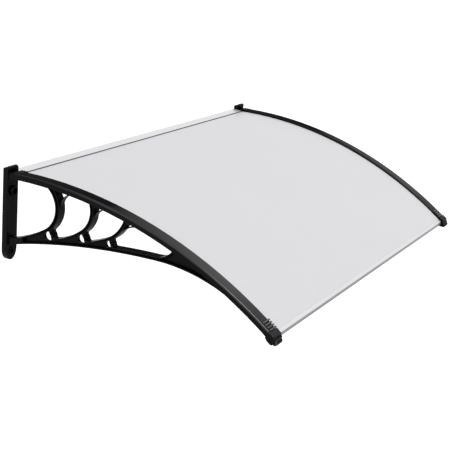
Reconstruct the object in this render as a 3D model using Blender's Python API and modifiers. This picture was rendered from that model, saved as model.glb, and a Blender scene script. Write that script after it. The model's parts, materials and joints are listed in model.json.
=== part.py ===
"""Door canopy: a bowed opal sheet held in two moulded scroll brackets.

Metres, +Z up. The wall is the plane y = 0 and the canopy reaches out towards -Y.
The origin is the middle of the wall seal's back face.
"""

import math

import bmesh
import bpy
from mathutils import Matrix, Vector

# Whole canopy.
WIDTH = 1.250  # over the outer faces of both rails
REACH = 0.7548  # wall to the front end of the rails
CURVE_RADIUS = 1.171  # top of the rails, seen from the side
CREST_OUT = 0.045  # wall to the highest point of the rails
CREST_HEIGHT = 0.014  # of that point above the origin
FIT_GAP = 0.0003  # between pieces that touch
CHORD_ERROR = 0.00016  # how far a facet may leave its true arc

# Rail: the bowed top of each bracket, with a slot on its inner side for the sheet.
RAIL_WIDTH = 0.0375
RAIL_HEIGHT = 0.0145
RAIL_ROUNDING = 0.0052
RAIL_SINK = 0.0062  # top of the rail above the top of the sheet
SLOT_DEPTH = 0.013
SHEET_THICKNESS = 0.004
SHEET_SIDE_PLAY = 0.0005  # sheet's edge to the bottom of the slot

# Cross ribs on the rail, near both ends.
RIB_RADIUS = 0.0024
RIB_PITCH = 0.0072
FRONT_RIBS = 4
REAR_RIBS = 3
FRONT_RIBS_BEHIND_END = 0.0165  # last rib to the rail's end, along the rail
REAR_RIBS_OUT = 0.028  # wall to the first rib
RIB_START = 0.012  # from the rail's outer face
RIB_STANDOFF = 0.0012  # ribs run past the rail's inner face
RIB_SINK = 0.0006  # rib's axis below the rail's top

# Wall plate, with a rolled head and two screw bosses.
PLATE_WIDTH = 0.0415
PLATE_THICKNESS = 0.015
PLATE_TOP = 0.024  # above the origin
PLATE_BOTTOM = 0.2135  # below the origin
PLATE_END_LENGTH = 0.028  # of the half-oval lower end
PLATE_ROUNDING = 0.0035
HEAD_RADIUS = 0.006
HEAD_OUT = 0.0125  # wall to the middle of the rolled head
HEAD_HEIGHT = 0.0228  # of its middle above the origin
HEAD_INSET = 0.0020  # its ends inside the plate's sides
HEAD_ROUNDING = 0.0054  # of its ends
SCREW_HOLE_RADIUS = 0.0042
# Bosses for the wall screws: drop below the origin, radius, height above the plate.
SCREW_BOSSES = ((0.035, 0.0120, 0.007), (0.1905, 0.0095, 0.0016))
COUNTERBORE_WALL = 0.0032  # boss wall round the counterbore
COUNTERBORE_DEPTH = 0.009

# Web under the rail: flanges along every edge, and a thinner membrane between them.
FLANGE_WIDTH = 0.025
FLANGE_THICKNESS = 0.003
MEMBRANE_THICKNESS = 0.008
WEB_FOOT_DROP = 0.171  # lower edge at the plate, below the origin
APEX_SHARE = 0.583  # how far out the lower edge is highest, as a share of the reach
APEX_DROP = 0.120  # of that point below the origin
ARM_DEPTH = 0.0098  # below the long window
ROOT_LENGTH = 0.059  # wall to where the recess of the lower arm starts
ROOT_WIDTH = 0.029
WINDOW_NOSE_RADIUS = 0.050  # of the arc that closes the long window
CORNER_ROUNDING = 0.004
ROOT_OVERLAP = 0.002  # how far the web reaches up into the rail
WINDOW_SINK = 0.0004  # rear window's edge behind the plate's face
BRIDGE_THICKNESS = 0.0030
BRIDGE_WIDTH = 0.016
BRIDGE_SINK = 0.0004  # how far its hollow side is set into what it joins
RING_WALL = 0.003
RING_HEIGHT = 0.001  # ring round each hole, above the membrane

# Scrolls: middle (out, drop below the rail's underside), inner radius, band width,
# angle where the foot takes over in degrees, radius of the foot, radius of the thin
# bridge at the head.
SCROLLS = (
    (0.0891, 0.0546, 0.0638, 0.0117, 239.1, 0.4423, 0.0375),
    (0.1912, 0.0320, 0.0619, 0.0102, 232.0, 0.2130, 0.0380),
    (0.2633, -0.0068, 0.0888, 0.0092, 243.7, 0.3480, 0.0580),
)
# Round hole in each scroll's foot: middle (out, height above the lower edge), radius,
# wall to the window.
FOOT_HOLES = (
    (0.1288, 0.0194, 0.0117, 0.0053),
    (0.2267, 0.0184, 0.0107, 0.0048),
    (0.3041, 0.0138, 0.0087, 0.0048),
)

# Rear profile: a lip over the sheet, a shelf under it and a box behind.
PROFILE_WALL = 0.0014
SHELF_WALL = 0.0012
REAR_LIP = 0.0293  # wall to the lip's front edge
LIP_RISE = 0.0044  # of the lip from its front edge back to the flange
REAR_SHELF = 0.025
REAR_BOX_DEPTH = 0.015
SEAL_HEIGHT = 0.018
SEAL_THICKNESS = 0.0022
GASKET_WIDTH = 0.0024
GASKET_HEIGHT = 0.0018
SPIGOT_LENGTH = 0.020

# Front profile: a channel clipped over the front edge of the sheet, with an upright face.
FRONT_WALL = 0.0012
FRONT_LIP = 0.0080
FRONT_FACE = 0.0094  # height of the face
SHEET_SHORT = 0.001  # front edge of the sheet behind the rail's end

# Front cap: a collar over the end of each rail, and a rounded end.
CAP_LENGTH = 0.0318
CAP_OVERLAP = 0.0130  # collar over the rail
COLLAR_LENGTH = 0.0164
COLLAR_WALL = 0.0012  # over the rail's top and sides
COLLAR_BASE = 0.0015  # under the rail at the collar's back
STEP_DROP = 0.0038  # collar down to the cap's body
STEP_LENGTH = 0.0010
BODY_LENGTH = 0.0248  # collar's back to the front of the body's round sides
BODY_DEPTH = 0.0204  # rail's top down to the body's underside
BODY_SLOPE = 0.0034  # body's top falls this much to its front
BODY_SIDE_ROUNDING = 0.0020  # of its corners, seen from the front
BODY_TOP_ROUNDING = 0.0030  # of its front corners, seen from the side
BODY_FRONT_ROUNDING = 0.0070
HEEL_BEFORE_END = 0.0025  # the heel to the rail's end
HEEL_ROUNDING = 0.0060
DOME_TOP = 0.0040  # rail's top down to the top of the domed front
DOME_DEPTH = 0.0188  # rail's top down to its lowest edge
DOME_INSET = 0.0018  # its sides inside the body's
DOME_CORNERS = 0.0070  # of its corners, seen from the front
DOME_RISE = 0.0083  # of its middle in front of its rim
DOME_ROUNDING = 0.0064  # how far in from the rim it turns flat
DOME_STEPS = 6  # facets to each quarter turn
DIMPLE_RADIUS = 0.0060
DIMPLE_DEPTH = 0.0006
DIMPLE_PAST_END = 0.0015  # its middle past the rail's end

# Self-tapping screws.
SCREW_RADIUS = 0.0015
SCREW_HEAD_RADIUS = 0.0028
SCREW_HEAD_HEIGHT = 0.0020
SCREW_LENGTH = 0.0110
SCREW_IN_RAIL = 0.0031  # screw's axis to the rail's inner face
RAIL_SCREWS_SHARE = (0.146, 0.530, 0.914)  # how far out they are, as shares of the reach
CAP_SCREW_LENGTH = 0.0105
CAP_SCREW_BEHIND_END = 0.0060  # its axis to the rail's end, along the rail

# Worked out from the sizes above.
CENTRE_OUT = CREST_OUT
CENTRE_Z = CREST_HEIGHT - CURVE_RADIUS
RAIL_BOTTOM = CURVE_RADIUS - RAIL_HEIGHT
SHEET_TOP = CURVE_RADIUS - RAIL_SINK
SHEET_BOTTOM = SHEET_TOP - SHEET_THICKNESS
RAIL_OUTER = -WIDTH / 2
RAIL_INNER = RAIL_OUTER + RAIL_WIDTH
RAIL_MIDDLE = RAIL_OUTER + RAIL_WIDTH / 2
PLATE_INNER = RAIL_MIDDLE + PLATE_WIDTH / 2
END_ANGLE = math.asin((REACH - CENTRE_OUT) / CURVE_RADIUS)
RAIL_SCREWS_OUT = [share * REACH for share in RAIL_SCREWS_SHARE]
APEX_OUT = APEX_SHARE * REACH
STRAIGHT = 100.0  # radius of a circle that stands for a straight edge


# Flat geometry, in the plane seen from the side: a point is (y, z), and a circle is
# (y, z, radius). A side of an outline is (circle, +1 if the outline lies inside it
# and -1 if it lies outside). Outlines run counter-clockwise.


def upright(y, towards):
    """The side of an outline along a vertical line, with the outline towards -y or +y."""
    return (y + towards * STRAIGHT, 0.0, STRAIGHT), 1


def crossing(first, second):
    """The point where an outline turns left from its first side to its second."""
    (ay, az, ar), a_in = first
    (by, bz, br), b_in = second
    gap = math.hypot(by - ay, bz - az)
    along = (ar**2 - br**2 + gap**2) / (2 * gap)
    across = math.sqrt(ar**2 - along**2)
    uy, uz = (by - ay) / gap, (bz - az) / gap
    for turn in (1, -1):
        y = ay + along * uy - turn * across * uz
        z = az + along * uz + turn * across * uy
        a_way = (-(z - az) * a_in, (y - ay) * a_in)
        b_way = (-(z - bz) * b_in, (y - by) * b_in)
        if a_way[0] * b_way[1] - a_way[1] * b_way[0] > 0:
            return y, z
    raise ValueError("the two sides don't cross")


def drawn_in(side, distance):
    """The side moved into its outline by a distance."""
    (y, z, radius), inside = side
    return (y, z, radius - inside * distance), inside


def on_circle(circle, point):
    """The point of a circle in line with its middle and another point."""
    y, z, radius = circle
    share = radius / math.hypot(point[0] - y, point[1] - z)
    return y + share * (point[0] - y), z + share * (point[1] - z)


def arc(circle, start, end):
    """Points from start up to, and not with, end, the short way round a circle."""
    y, z, radius = circle
    first = math.atan2(start[1] - z, start[0] - y)
    sweep = math.atan2(end[1] - z, end[0] - y) - first
    sweep = (sweep + math.pi) % (2 * math.pi) - math.pi
    step = 2 * math.acos(1 - min(CHORD_ERROR / radius, 1))
    count = max(1, math.ceil(abs(sweep) / step))
    return [
        (y + radius * math.cos(first + sweep * i / count), z + radius * math.sin(first + sweep * i / count))
        for i in range(count)
    ]


def outline(sides, corners):
    """A closed outline. Corner i, after side i, is a rounding radius or a tangent point."""
    ends = []
    roundings = []
    for side, after, corner in zip(sides, sides[1:] + sides[:1], corners):
        if isinstance(corner, tuple):
            ends.append((corner, corner))
            roundings.append([])
            continue
        middle = crossing(drawn_in(side, corner), drawn_in(after, corner))
        if corner == 0:
            ends.append((middle, middle))
            roundings.append([])
            continue
        leave, meet = on_circle(side[0], middle), on_circle(after[0], middle)
        ends.append((leave, meet))
        roundings.append(arc((*middle, corner), leave, meet))
    points = []
    for i, (circle, _) in enumerate(sides):
        points += arc(circle, ends[i - 1][1], ends[i][0]) + roundings[i]
    return points


def rounded(corners):
    """An outline through (a, b, rounding) corners, each rounded off by an arc."""
    points = []
    for i, (a, b, radius) in enumerate(corners):
        here = Vector((a, b))
        before = (Vector(corners[i - 1][:2]) - here).normalized()
        after = (Vector(corners[(i + 1) % len(corners)][:2]) - here).normalized()
        half = before.angle(after) / 2
        middle = here + (before + after).normalized() * radius / math.sin(half)
        start, end = (here + way * radius / math.tan(half) for way in (before, after))
        points += [*arc((*middle, radius), start, end), tuple(end)] if radius else [(a, b)]
    return points


# The bracket's circles, seen from the side.


def rail_circle(radius):
    return -CENTRE_OUT, CENTRE_Z, radius


def height_at(out, circle):
    """Height of a circle's upper half at a distance from the wall."""
    y, z, radius = circle
    return z + math.sqrt(radius**2 - (out + y) ** 2)


def rail_underside(out):
    return height_at(out, rail_circle(RAIL_BOTTOM))


def scroll_circles(i):
    """Inner circle, outer circle, foot circle, and the point where the foot takes over."""
    out, drop, radius, band, angle, foot_radius, _ = SCROLLS[i]
    z = rail_underside(out) - drop
    way = (math.cos(math.radians(angle)), math.sin(math.radians(angle)))
    shift = foot_radius - radius
    foot = (-out - shift * way[0], z - shift * way[1], foot_radius)
    join = (-out + radius * way[0], z + radius * way[1])
    return (-out, z, radius), (-out, z, radius + band), foot, join


def grown_join(i, grow):
    """Where scroll i's foot takes over, on an edge moved outwards."""
    inner, _, _, join = scroll_circles(i)
    return on_circle((inner[0], inner[1], inner[2] + grow), join)


def lower_circles():
    """The two arcs of the bracket's lower edge: plate to apex, and apex to the rail."""
    apex_y, apex_z = -APEX_OUT, -APEX_DROP
    run, drop = APEX_OUT - PLATE_THICKNESS, WEB_FOOT_DROP - APEX_DROP
    rear_radius = (run**2 + drop**2) / (2 * drop)
    across, down = apex_y + CENTRE_OUT, apex_z - CENTRE_Z
    front_radius = (RAIL_BOTTOM**2 - across**2 - down**2) / (2 * (RAIL_BOTTOM - down))
    return (apex_y, apex_z - rear_radius, rear_radius), (apex_y, apex_z - front_radius, front_radius)


def foot_hole_circle(i):
    out, above, radius, _ = FOOT_HOLES[i]
    return -out, height_at(out, lower_circles()[0]) + above, radius


def lower_sides(up):
    """The lower edge's sides and its apex, all moved up by a distance."""
    rear, front = lower_circles()
    rear, front = (*rear[:2], rear[2] + up), (*front[:2], front[2] + up)
    return (front, -1), (rear, -1), (-APEX_OUT, -APEX_DROP + up)


def web_outline():
    """The whole web, reaching up into the rail and back into the plate."""
    front, rear, apex = lower_sides(0)
    tip_y, _ = on_circle(rail_circle(RAIL_BOTTOM), front[0][:2])
    tip = upright(max(tip_y, 2 * CAP_OVERLAP - REACH), 1)
    wall = upright(-PLATE_THICKNESS / 2, -1)
    top = (rail_circle(RAIL_BOTTOM + ROOT_OVERLAP), 1)
    return outline([front, rear, wall, top, tip], [apex, 0, 0, 0, 0])


def recess_outline():
    """The recess inside the web's lower flange, from the arm's root to its tip."""
    front, rear, apex = lower_sides(FLANGE_THICKNESS)
    top = (rail_circle(RAIL_BOTTOM + ROOT_OVERLAP / 2), 1)
    return outline([front, rear, upright(-ROOT_LENGTH, -1), top], [apex, 0.001, 0.001, 0.001])


def window_outline(i, grow):
    """Window i of the web, counted from the wall, with its edges moved out by a distance."""
    top = (rail_circle(RAIL_BOTTOM + ROOT_OVERLAP / 2 + grow), 1)
    corner = CORNER_ROUNDING + grow
    if i > 0:
        _, outer, _, _ = scroll_circles(i - 1)
        y, z, radius = foot_hole_circle(i - 1)
        wall = FOOT_HOLES[i - 1][3]
        behind = [((y, z, radius + wall - grow), -1), ((*outer[:2], outer[2] - grow), -1)]
        rear_corners = [corner, corner, corner]
    else:
        behind = [upright(-PLATE_THICKNESS + WINDOW_SINK + grow, -1)]
        rear_corners = [corner, corner]
    if i < len(SCROLLS):
        inner, _, foot, _ = scroll_circles(i)
        ahead = ((*inner[:2], inner[2] + grow), 1)
        below = ((*foot[:2], foot[2] + grow), 1)
        return outline([below, *behind, top, ahead], [*rear_corners, corner, grown_join(i, grow)])
    _, rear, apex = lower_sides(ARM_DEPTH - grow)
    radius = WINDOW_NOSE_RADIUS + grow
    nose = (apex[0], apex[1] + radius, radius), 1
    return outline([nose, rear, *behind, top], [apex, *rear_corners, corner])


def bridge_outline(i):
    """The curved bridge beside scroll i's head, its ends sunk into the scroll and the rail."""
    _, outer, _, _ = scroll_circles(i)
    top, radius = rail_circle(RAIL_BOTTOM), SCROLLS[i][6]
    y, z = crossing(drawn_in((outer, -1), radius), drawn_in((top, 1), radius))
    beyond = (2 * y - top[0], 2 * z - top[1])
    points = []
    for size, ends in ((BRIDGE_SINK, (outer, beyond)), (BRIDGE_THICKNESS, (beyond, outer))):
        ring = (y, z, radius + size)
        start, end = (on_circle(ring, way) for way in ends)
        points += [*arc(ring, start, end), end]
    return points


# Mesh helpers.

SIDE_VIEW = Matrix(((0, 0, 1, 0), (1, 0, 0, 0), (0, 1, 0, 0), (0, 0, 0, 1)))
FRONT_VIEW = Matrix(((1, 0, 0, 0), (0, 0, -1, 0), (0, 1, 0, 0), (0, 0, 0, 1)))


def add_object(name, mesh, collection):
    obj = bpy.data.objects.new(name, mesh)
    collection.objects.link(obj)
    if collection == HELPERS:
        obj.hide_render = True
        obj.display_type = "WIRE"
    return obj


def mesh_from(bm, name):
    """A closed mesh with its faces out, from a bmesh that is then freed."""
    bmesh.ops.remove_doubles(bm, verts=bm.verts, dist=1e-6)
    open_edges = [edge for edge in bm.edges if edge.is_boundary]
    if open_edges:
        bmesh.ops.holes_fill(bm, edges=open_edges)
    bmesh.ops.recalc_face_normals(bm, faces=bm.faces)
    mesh = bpy.data.meshes.new(name)
    bm.to_mesh(mesh)
    bm.free()
    return mesh


def slab(name, outlines, low, high, collection, view=SIDE_VIEW):
    """A flat outline, with any holes in it, made solid from low to high across its view."""
    curve = bpy.data.curves.new(name, "CURVE")
    curve.dimensions = "2D"
    curve.fill_mode = "BOTH"
    curve.extrude = (high - low) / 2
    for points in outlines:
        spline = curve.splines.new("POLY")
        spline.points.add(len(points) - 1)
        for point, (a, b) in zip(spline.points, points):
            point.co = (a, b, 0, 1)
        spline.use_cyclic_u = True
    drawn = bpy.data.objects.new(name, curve)
    bpy.context.scene.collection.objects.link(drawn)
    graph = bpy.context.evaluated_depsgraph_get()
    bm = bmesh.new()
    flat = bpy.data.meshes.new_from_object(drawn.evaluated_get(graph))
    bm.from_mesh(flat)
    bpy.data.objects.remove(drawn)
    bpy.data.curves.remove(curve)
    bpy.data.meshes.remove(flat)
    bmesh.ops.transform(bm, verts=bm.verts, matrix=view @ Matrix.Translation((0, 0, (low + high) / 2)))
    return add_object(name, mesh_from(bm, name), collection)


def swept(name, section, start, end, collection):
    """A section of (x, radius) points turned round the canopy's curve, start to end in radians."""
    bm = bmesh.new()
    corners = [
        bm.verts.new((x, -CENTRE_OUT - radius * math.sin(start), CENTRE_Z + radius * math.cos(start)))
        for x, radius in section
    ]
    face = bm.faces.new(corners)
    step = 2 * math.acos(1 - CHORD_ERROR / CURVE_RADIUS)
    bmesh.ops.spin(
        bm,
        geom=[face, *face.edges, *face.verts],
        cent=(0, -CENTRE_OUT, CENTRE_Z),
        axis=(1, 0, 0),
        angle=end - start,
        steps=max(1, math.ceil((end - start) / step)),
    )
    return add_object(name, mesh_from(bm, name), collection)


def cylinder(name, radius, start, end, sides, collection, bevel=0.0):
    """A round bar between two points."""
    start, end = Vector(start), Vector(end)
    way = end - start
    bm = bmesh.new()
    turn = way.to_track_quat("Z", "Y").to_matrix().to_4x4()
    place = Matrix.Translation((start + end) / 2) @ turn
    bmesh.ops.create_cone(
        bm, cap_ends=True, segments=sides, radius1=radius, radius2=radius, depth=way.length, matrix=place
    )
    if bevel:
        rims = [edge for edge in bm.edges if any(len(face.verts) == sides for face in edge.link_faces)]
        bmesh.ops.bevel(bm, geom=rims, offset=bevel, segments=4, profile=0.5, affect="EDGES")
    return add_object(name, mesh_from(bm, name), collection)


def block(name, low, high, collection):
    """A box between two corners."""
    bm = bmesh.new()
    low, high = Vector(low), Vector(high)
    bmesh.ops.create_cube(bm, size=1)
    bmesh.ops.scale(bm, verts=bm.verts, vec=high - low)
    bmesh.ops.translate(bm, verts=bm.verts, vec=(low + high) / 2)
    return add_object(name, mesh_from(bm, name), collection)


def boolean(obj, operation, other):
    modifier = obj.modifiers.new(f"{operation.lower()} {other.name}", "BOOLEAN")
    modifier.operation = operation
    modifier.solver = "EXACT"
    modifier.object = other


def round_edges(obj, width, segments):
    modifier = obj.modifiers.new("rounded edges", "BEVEL")
    modifier.width = width
    modifier.segments = segments
    modifier.limit_method = "ANGLE"


def settled(obj):
    """The object's mesh with its modifiers worked in, and its flat faces joined up."""
    modifier = obj.modifiers.new("flat faces joined", "DECIMATE")
    modifier.decimate_type = "DISSOLVE"
    modifier.angle_limit = math.radians(0.2)
    graph = bpy.context.evaluated_depsgraph_get()
    mesh = bpy.data.meshes.new_from_object(obj.evaluated_get(graph))
    obj.modifiers.clear()
    obj.data = mesh
    return obj


def curve_point(x, radius, angle):
    return Vector((x, -CENTRE_OUT - radius * math.sin(angle), CENTRE_Z + radius * math.cos(angle)))


def angle_at(out, radius):
    """How far round the curve a circle of this radius is at a distance from the wall."""
    return math.asin((out - CENTRE_OUT) / radius)


def sheet_height(out, radius):
    return height_at(out, rail_circle(radius))


# Pieces.


def rail_section(gap, sheet):
    """The rail's section as (x, radius) points, grown by a gap on every side.

    Sheet is how far the sheet's place stands out of the inner side; a slot is below zero.
    """
    outer, inner = RAIL_OUTER - gap, RAIL_INNER + gap
    top, bottom = CURVE_RADIUS + gap, RAIL_BOTTOM - gap
    rounding = RAIL_ROUNDING + gap
    turns = [math.radians(a) for a in (0, 22.5, 45, 67.5, 90)]
    points = [(outer, bottom)]
    points += [
        (outer + rounding * (1 - math.cos(a)), top - rounding * (1 - math.sin(a))) for a in turns
    ]
    points += [
        (inner - rounding * (1 - math.sin(a)), top - rounding * (1 - math.cos(a))) for a in turns
    ]
    floor, roof = SHEET_BOTTOM - FIT_GAP, SHEET_TOP + FIT_GAP
    points += [(inner, roof), (inner + sheet, roof), (inner + sheet, floor), (inner, floor)]
    points.append((inner, bottom))
    return points


def plate_outline():
    """The wall plate seen from the front: straight sides and a half-oval lower end."""
    half, bottom = PLATE_WIDTH / 2, -PLATE_BOTTOM
    shoulder = bottom + PLATE_END_LENGTH
    steps = 12
    turns = [math.pi * i / steps for i in range(steps + 1)]
    oval = [(RAIL_MIDDLE - half * math.cos(a), shoulder - PLATE_END_LENGTH * math.sin(a)) for a in turns]
    return [*oval, (RAIL_MIDDLE + half, PLATE_TOP), (RAIL_MIDDLE - half, PLATE_TOP)]


def wall_plate():
    plate = slab("wall plate", [plate_outline()], 0, PLATE_THICKNESS, HELPERS, FRONT_VIEW)
    round_edges(plate, PLATE_ROUNDING, 2)
    half = PLATE_WIDTH / 2 - HEAD_INSET
    head = cylinder(
        "rolled head",
        HEAD_RADIUS,
        (RAIL_MIDDLE - half, -HEAD_OUT, HEAD_HEIGHT),
        (RAIL_MIDDLE + half, -HEAD_OUT, HEAD_HEIGHT),
        16,
        HELPERS,
        HEAD_ROUNDING,
    )
    boolean(plate, "UNION", head)
    for drop, radius, height in SCREW_BOSSES:
        boss = screw_bore("screw boss", drop, radius, PLATE_THICKNESS / 3, PLATE_THICKNESS + height, 24)
        boolean(plate, "UNION", boss)
    return plate


def screw_bore(name, drop, radius, back, front, sides):
    """A round bar out of the wall plate at a wall screw, between two distances from the wall."""
    return cylinder(name, radius, (RAIL_MIDDLE, -back, -drop), (RAIL_MIDDLE, -front, -drop), sides, HELPERS)


def screw_bores():
    """Cutters for the wall screws: a hole through the plate, and a counterbore for the head."""
    cutters = []
    for drop, radius, height in SCREW_BOSSES:
        face = PLATE_THICKNESS + height
        beyond = face + PLATE_THICKNESS
        cutters.append(screw_bore("screw hole", drop, SCREW_HOLE_RADIUS, -PLATE_THICKNESS, beyond, 16))
        bore = radius - COUNTERBORE_WALL
        cutters.append(screw_bore("counterbore", drop, bore, face - COUNTERBORE_DEPTH, beyond, 20))
    return cutters


def web():
    """The web with its windows, recessed on both faces between its flanges."""
    low, high = RAIL_MIDDLE - FLANGE_WIDTH / 2, RAIL_MIDDLE + FLANGE_WIDTH / 2
    windows = [window_outline(i, 0) for i in range(len(SCROLLS) + 1)]
    plate = slab("web", [web_outline(), *windows], low, high, HELPERS)
    half = MEMBRANE_THICKNESS / 2
    for face, floor in ((low, RAIL_MIDDLE - half), (high, RAIL_MIDDLE + half)):
        out = math.copysign(FIT_GAP, face - floor)
        span = sorted((face + out, floor))
        recess = slab("recess", [recess_outline()], *span, HELPERS)
        for i in range(len(SCROLLS) + 1):
            edge = window_outline(i, FLANGE_THICKNESS)
            keep = slab("recess edge", [edge], span[0] - FIT_GAP, span[1] + FIT_GAP, HELPERS)
            boolean(recess, "DIFFERENCE", keep)
        for i in range(len(FOOT_HOLES)):
            y, z, radius = foot_hole_circle(i)
            ring = cylinder(
                "hole ring",
                radius + RING_WALL,
                (floor - out, y, z),
                (floor + math.copysign(RING_HEIGHT, out), y, z),
                24,
                HELPERS,
            )
            boolean(recess, "DIFFERENCE", ring)
        boolean(plate, "DIFFERENCE", recess)
    return plate


def bridge(i):
    """The thin curved bridge between scroll i's head and the rail."""
    half = BRIDGE_WIDTH / 2
    return slab("bridge", [bridge_outline(i)], RAIL_MIDDLE - half, RAIL_MIDDLE + half, HELPERS)


def foot_hole_cutter(i):
    y, z, radius = foot_hole_circle(i)
    start, end = ((RAIL_MIDDLE + side * FLANGE_WIDTH, y, z) for side in (-1, 1))
    return cylinder("foot hole", radius, start, end, 20, HELPERS)


def arm_root():
    """The wider block where the lower arm leaves the wall plate."""
    half = ROOT_WIDTH / 2
    _, rear, _ = lower_sides(0)
    _, _, foot, _ = scroll_circles(0)
    wall, tip = upright(-PLATE_THICKNESS / 2, -1), upright(-ROOT_LENGTH, 1)
    points = outline([rear, wall, (foot, -1), tip], [0, 0, 0, 0])
    return slab("arm root", [points], RAIL_MIDDLE - half, RAIL_MIDDLE + half, HELPERS)


def rib_angles():
    """Where the cross ribs lie round the curve, front ones first."""
    pitch = RIB_PITCH / CURVE_RADIUS
    last = END_ANGLE - FRONT_RIBS_BEHIND_END / CURVE_RADIUS
    first = angle_at(REAR_RIBS_OUT, CURVE_RADIUS)
    return [last - i * pitch for i in range(FRONT_RIBS)] + [first + i * pitch for i in range(REAR_RIBS)]


def screw_angle(out):
    return angle_at(out, RAIL_BOTTOM)


def bracket(name):
    """Left bracket: rail, wall plate and scrolled web as one moulding."""
    start = angle_at(PLATE_THICKNESS / 2, CURVE_RADIUS)
    body = swept(name, rail_section(0, -SLOT_DEPTH), start, END_ANGLE, CANOPY)
    for angle in rib_angles():
        rib = cylinder(
            "rib",
            RIB_RADIUS,
            curve_point(RAIL_OUTER + RIB_START, CURVE_RADIUS - RIB_SINK, angle),
            curve_point(RAIL_INNER + RIB_STANDOFF, CURVE_RADIUS - RIB_SINK, angle),
            12,
            HELPERS,
        )
        boolean(body, "UNION", rib)
    spigot_top = shelf_top() - PROFILE_WALL - FIT_GAP
    spigot_bottom = -SEAL_HEIGHT / 2 + PROFILE_WALL + FIT_GAP
    spigot_back = SEAL_THICKNESS + FIT_GAP + PROFILE_WALL + FIT_GAP
    spigot_front = REAR_BOX_DEPTH - PROFILE_WALL - FIT_GAP
    spigot = block(
        "spigot",
        (RAIL_INNER, -spigot_front, spigot_bottom),
        (PLATE_INNER + SPIGOT_LENGTH, -spigot_back, spigot_top),
        HELPERS,
    )
    bridges = [bridge(i) for i in range(len(SCROLLS))]
    for other in (wall_plate(), web(), *bridges, arm_root(), spigot):
        boolean(body, "UNION", other)
    for cutter in (*screw_bores(), *map(foot_hole_cutter, range(len(FOOT_HOLES)))):
        boolean(body, "DIFFERENCE", cutter)
    for out in RAIL_SCREWS_OUT:
        boolean(body, "DIFFERENCE", screw_hole(out))
    boolean(body, "DIFFERENCE", rear_screw_hole())
    boolean(body, "DIFFERENCE", cap_screw_hole())
    return settled(body)


def screw_hole(out):
    """Cutter for a rail screw: through the lip and the sheet, and blind in the rail's top."""
    x, angle = RAIL_INNER - SCREW_IN_RAIL, screw_angle(out)
    top = RAIL_BOTTOM + SCREW_LENGTH + FIT_GAP
    return cylinder(
        "rail screw hole",
        SCREW_RADIUS + FIT_GAP,
        curve_point(x, RAIL_BOTTOM - SCREW_HEAD_HEIGHT, angle),
        curve_point(x, top, angle),
        10,
        HELPERS,
    )


def rear_screw_place():
    """X and y of the screw that locks the rear profile on a spigot."""
    box_back = SEAL_THICKNESS + FIT_GAP
    return PLATE_INNER + SPIGOT_LENGTH / 2, -(box_back + REAR_BOX_DEPTH) / 2


def rear_screw_hole():
    x, y = rear_screw_place()
    bottom = -SEAL_HEIGHT / 2
    return cylinder(
        "rear screw hole",
        SCREW_RADIUS + FIT_GAP,
        (x, y, bottom - SCREW_HEAD_HEIGHT),
        (x, y, bottom + rear_screw_length() + FIT_GAP),
        10,
        HELPERS,
    )


def rear_screw_length():
    """Through the box's floor and most of the spigot."""
    return shelf_top() + SEAL_HEIGHT / 2 - 2 * PROFILE_WALL


def cap_screw_angle():
    return END_ANGLE - CAP_SCREW_BEHIND_END / CURVE_RADIUS


def cap_screw_hole():
    angle = cap_screw_angle()
    return cylinder(
        "cap screw hole",
        SCREW_RADIUS + FIT_GAP,
        curve_point(RAIL_MIDDLE, RAIL_BOTTOM - CAP_SCREW_LENGTH, angle),
        curve_point(RAIL_MIDDLE, cap_screw_base() + CAP_SCREW_LENGTH + FIT_GAP, angle),
        10,
        HELPERS,
    )


def mirrored(source, name):
    """The same piece for the other side of the canopy."""
    mesh = source.data.copy()
    mesh.transform(Matrix.Scale(-1, 4, (1, 0, 0)))
    mesh.flip_normals()
    return add_object(name, mesh, CANOPY)


def roof_sheet(name):
    half = WIDTH / 2 - RAIL_WIDTH + SLOT_DEPTH - SHEET_SIDE_PLAY
    start = angle_at(PLATE_THICKNESS + SHEET_SHORT, SHEET_TOP)
    end = END_ANGLE - SHEET_SHORT / SHEET_TOP
    section = [(-half, SHEET_BOTTOM), (-half, SHEET_TOP), (half, SHEET_TOP), (half, SHEET_BOTTOM)]
    sheet = swept(name, section, start, end, CANOPY)
    for out in RAIL_SCREWS_OUT:
        left = screw_hole(out)
        boolean(sheet, "DIFFERENCE", left)
        right = add_object("rail screw hole", left.data.copy(), HELPERS)
        right.data.transform(Matrix.Scale(-1, 4, (1, 0, 0)))
        right.data.flip_normals()
        boolean(sheet, "DIFFERENCE", right)
    return settled(sheet)


def lip_bottom():
    """Underside of the rear profile's lip, just clear of the sheet."""
    return sheet_height(REAR_LIP, SHEET_TOP) + FIT_GAP


def shelf_top():
    """Top of the rear profile's shelf, just under the sheet's rear edge."""
    return sheet_height(PLATE_THICKNESS + SHEET_SHORT, SHEET_BOTTOM) - FIT_GAP


def rear_profile(name):
    """An extruded section: flange, lip, shelf and a box that slides on the spigots."""
    back = -SEAL_THICKNESS - FIT_GAP
    wall, low = PROFILE_WALL, -SEAL_HEIGHT / 2
    top, under, shelf = lip_bottom() + wall, lip_bottom(), shelf_top()
    front = -REAR_BOX_DEPTH
    section = [
        (back, low),
        (back, top + LIP_RISE),
        (-REAR_LIP, top),
        (-REAR_LIP, under),
        (back - wall, under + LIP_RISE),
        (back - wall, shelf),
        (-REAR_SHELF, shelf),
        (-REAR_SHELF, shelf - SHELF_WALL),
        (front, shelf - SHELF_WALL),
        (front, low),
    ]
    inside = [
        (back - wall, low + wall),
        (back - wall, shelf - wall),
        (front + wall, shelf - wall),
        (front + wall, low + wall),
    ]
    half = -PLATE_INNER - FIT_GAP
    profile = slab(name, [section, inside], -half, half, CANOPY)
    hole = rear_screw_hole()
    boolean(profile, "DIFFERENCE", hole)
    other = add_object("rear screw hole", hole.data.copy(), HELPERS)
    other.data.transform(Matrix.Scale(-1, 4, (1, 0, 0)))
    other.data.flip_normals()
    boolean(profile, "DIFFERENCE", other)
    return settled(profile)


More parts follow.
